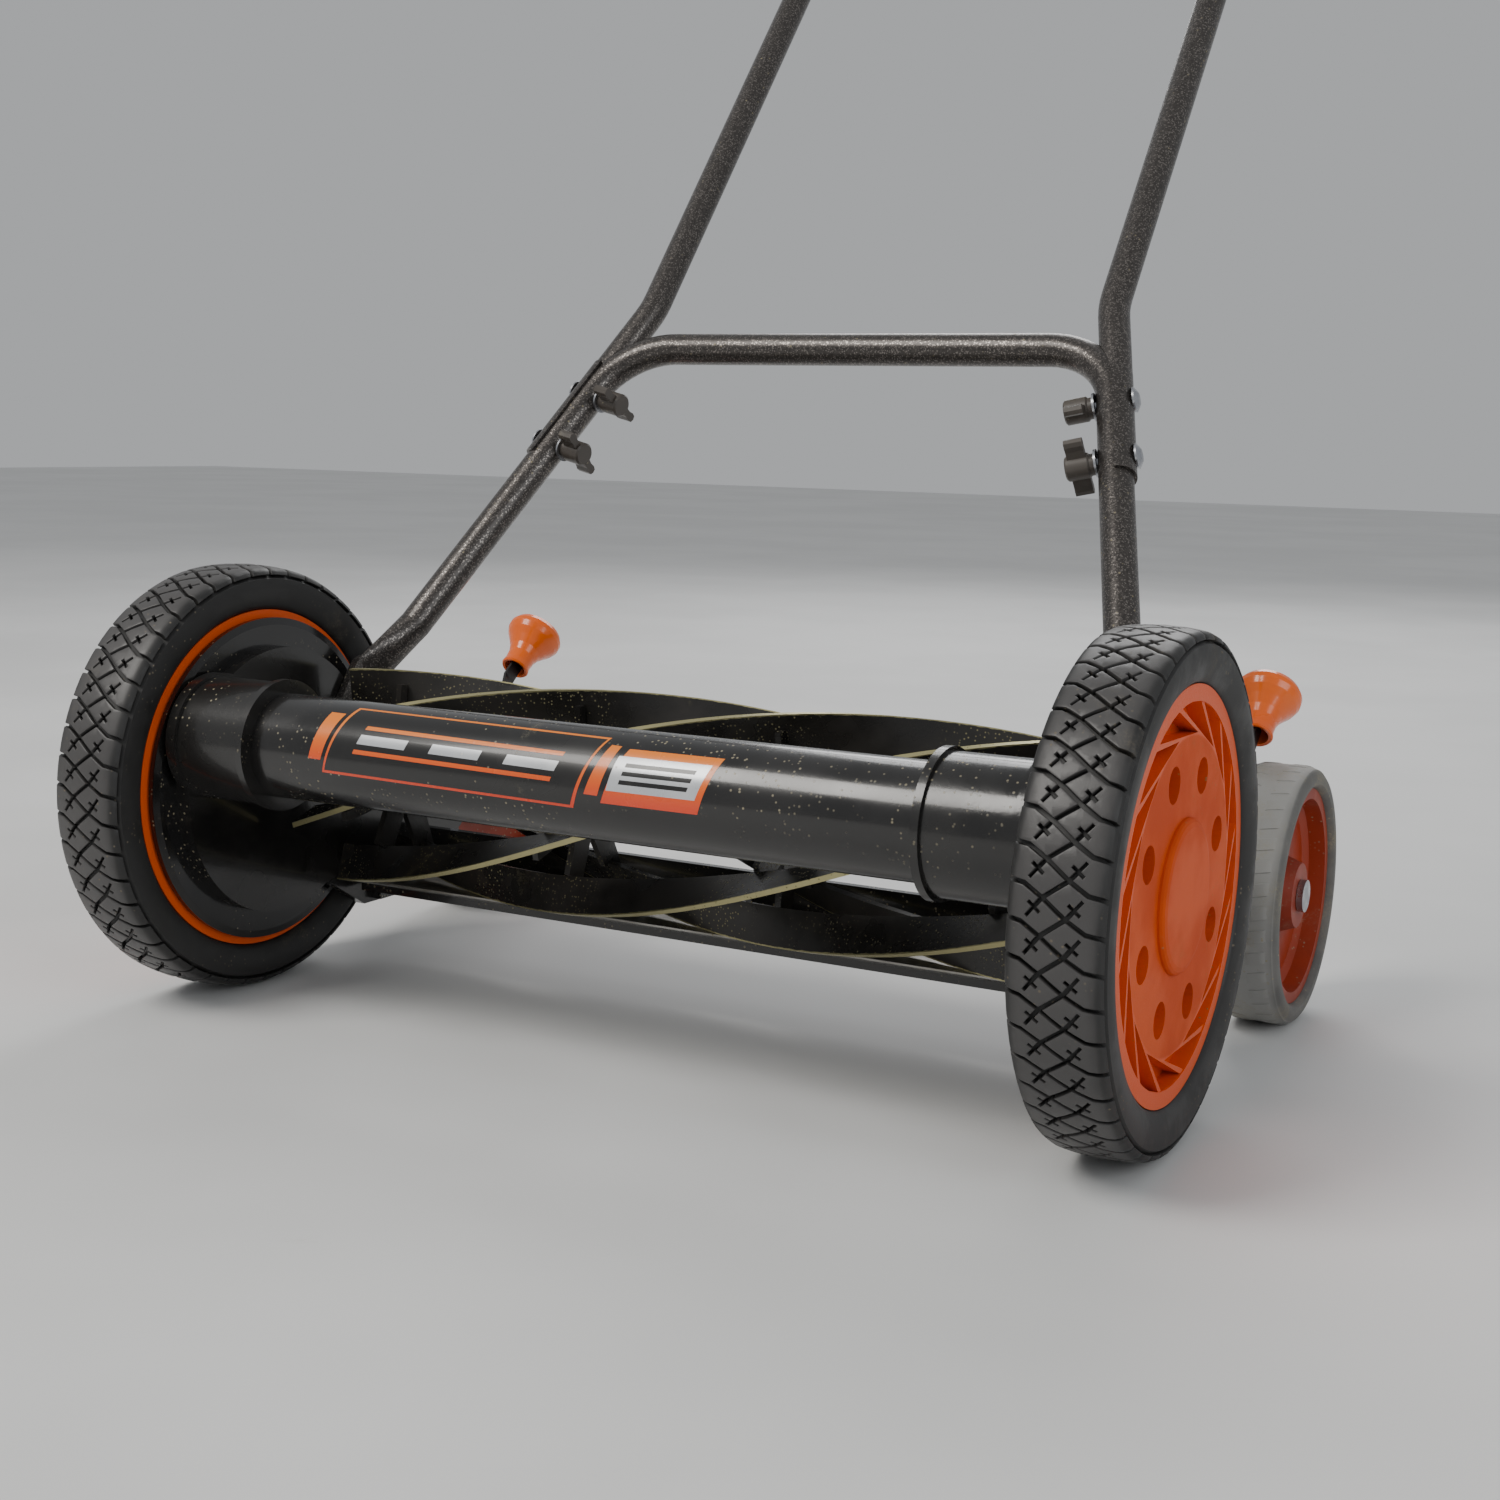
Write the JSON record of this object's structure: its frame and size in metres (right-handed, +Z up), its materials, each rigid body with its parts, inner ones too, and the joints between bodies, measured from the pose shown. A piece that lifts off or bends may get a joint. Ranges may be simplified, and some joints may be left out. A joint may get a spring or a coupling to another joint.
{
  "type": "push reel mower",
  "caption": "Push reel lawn mower: helical blade reel between two geared wheels, cutter bar, height-adjusting rear wheels and a folding tube handle.",
  "frame": {"origin": "ground point under the centre of the bounding box", "axes": "+X along the front axle to the mower's left-hand wheel seen from behind, -Y to the front, +Y to the handle, +Z up"},
  "size_m": [0.577, 0.9218, 1.049],
  "materials": {
    "black_casting": "gloss black enamel",
    "black_plastic": "glossy",
    "black_steel": "gloss black enamel",
    "zinc": "zinc plated",
    "blade_steel": "black with ground edges",
    "knife_steel": "ground",
    "spring_steel": "black oxide",
    "bronze": "sintered",
    "orange_plastic": "textured",
    "rear_orange": "smooth",
    "tyre_rubber": "matt",
    "rear_rubber": "worn",
    "gear_plastic": "moulded nylon",
    "handle_tube": "hammered powder coat",
    "foam": "foam",
    "knob_plastic": "satin"
  },
  "bodies": {
    "chassis": {"side_plate_left": "black_casting", "side_plate_right": "black_casting", "gear_cover_left": "black_plastic", "gear_cover_right": "black_plastic", "front_tube": "black_steel", "tube_end_bolts": "zinc", "cutter_bar": "black_steel", "bed_knife": "knife_steel", "bed_knife_screws": "zinc", "cutter_bar_bolts": "zinc", "wheel_axles": "zinc", "axle_washers": "zinc", "axle_retaining_rings": "spring_steel", "reel_bearings": "bronze", "lever_pins": "zinc", "handle_pivot_bolts": "zinc"},
    "reel": {"reel_shaft": "zinc", "reel_spider_1": "blade_steel", "reel_spider_2": "blade_steel", "reel_spider_3": "blade_steel", "reel_spider_4": "blade_steel", "reel_blade_1": "blade_steel", "reel_blade_2": "blade_steel", "reel_blade_3": "blade_steel", "reel_blade_4": "blade_steel", "reel_blade_5": "blade_steel", "reel_blade_6": "blade_steel", "reel_blade_7": "blade_steel", "drive_pawls": "spring_steel", "drive_pinion_left": "gear_plastic", "drive_pinion_right": "gear_plastic"},
    "wheel_left": {"wheel_hub_left": "orange_plastic", "hub_cap_left": "orange_plastic", "front_tyre_left": "tyre_rubber"},
    "wheel_right": {"wheel_hub_right": "orange_plastic", "hub_cap_right": "orange_plastic", "front_tyre_right": "tyre_rubber"},
    "adjuster_left": {"adjuster_bracket_left": "black_steel", "adjuster_lever_left": "spring_steel", "adjuster_knob_left": "orange_plastic", "rear_axle_left": "zinc"},
    "rear_wheel_left": {"rear_hub_left": "rear_orange", "rear_tyre_left": "rear_rubber"},
    "adjuster_right": {"adjuster_bracket_right": "black_steel", "adjuster_lever_right": "spring_steel", "adjuster_knob_right": "orange_plastic", "rear_axle_right": "zinc"},
    "rear_wheel_right": {"rear_hub_right": "rear_orange", "rear_tyre_right": "rear_rubber"},
    "handle": {"lower_handle": "handle_tube", "upper_handle": "handle_tube", "foam_grip": "foam", "carriage_bolts": "zinc", "knob_washers": "zinc"},
    "wing_knob_left_upper": {"wing_knob_left_upper": "knob_plastic"},
    "wing_knob_left_lower": {"wing_knob_left_lower": "knob_plastic"},
    "wing_knob_right_upper": {"wing_knob_right_upper": "knob_plastic"},
    "wing_knob_right_lower": {"wing_knob_right_lower": "knob_plastic"}
  },
  "joints": [
    {"name": "wheel_left_spin", "type": "hinge", "parent": "chassis", "child": "wheel_left", "pos_m": [-0.2665, -0.34086, 0.12], "axis": [1, 0, 0], "continuous": true},
    {"name": "wheel_right_spin", "type": "hinge", "parent": "chassis", "child": "wheel_right", "pos_m": [0.2665, -0.34086, 0.12], "axis": [1, 0, 0], "continuous": true},
    {"name": "reel_spin", "type": "hinge", "parent": "chassis", "child": "reel", "pos_m": [0, -0.28982, 0.1177], "axis": [1, 0, 0], "continuous": true},
    {"name": "adjuster_left_swing", "type": "hinge", "parent": "chassis", "child": "adjuster_left", "pos_m": [-0.2423, -0.18086, 0.085], "axis": [1, 0, 0], "range_deg": [-22, 22]},
    {"name": "rear_wheel_left_spin", "type": "hinge", "parent": "adjuster_left", "child": "rear_wheel_left", "pos_m": [-0.267, -0.09586, 0.0725], "axis": [1, 0, 0], "continuous": true},
    {"name": "adjuster_right_swing", "type": "hinge", "parent": "chassis", "child": "adjuster_right", "pos_m": [0.2423, -0.18086, 0.085], "axis": [1, 0, 0], "range_deg": [-22, 22]},
    {"name": "rear_wheel_right_spin", "type": "hinge", "parent": "adjuster_right", "child": "rear_wheel_right", "pos_m": [0.267, -0.09586, 0.0725], "axis": [1, 0, 0], "continuous": true},
    {"name": "handle_fold", "type": "hinge", "parent": "chassis", "child": "handle", "pos_m": [0, -0.29086, 0.146], "axis": [1, 0, 0], "range_deg": [0, 80]},
    {"name": "wing_knob_left_upper_turn", "type": "hinge", "parent": "handle", "child": "wing_knob_left_upper", "pos_m": [-0.15912, -0.1277, 0.33694], "axis": [0.9627, -0.1719, -0.209], "range_deg": [0, 720]},
    {"name": "wing_knob_left_lower_turn", "type": "hinge", "parent": "handle", "child": "wing_knob_left_lower", "pos_m": [-0.17008, -0.15247, 0.30683], "axis": [0.9627, -0.1719, -0.209], "range_deg": [0, 720]},
    {"name": "wing_knob_right_upper_turn", "type": "hinge", "parent": "handle", "child": "wing_knob_right_upper", "pos_m": [0.15912, -0.1277, 0.33694], "axis": [-0.9627, -0.1719, -0.209], "range_deg": [0, 720]},
    {"name": "wing_knob_right_lower_turn", "type": "hinge", "parent": "handle", "child": "wing_knob_right_lower", "pos_m": [0.17008, -0.15247, 0.30683], "axis": [-0.9627, -0.1719, -0.209], "range_deg": [0, 720]}
  ],
  "couplings": [
    {"joint": "reel_spin", "follows": "wheel_left_spin", "ratio": 5},
    {"joint": "wheel_right_spin", "follows": "wheel_left_spin", "ratio": 1}
  ]
}
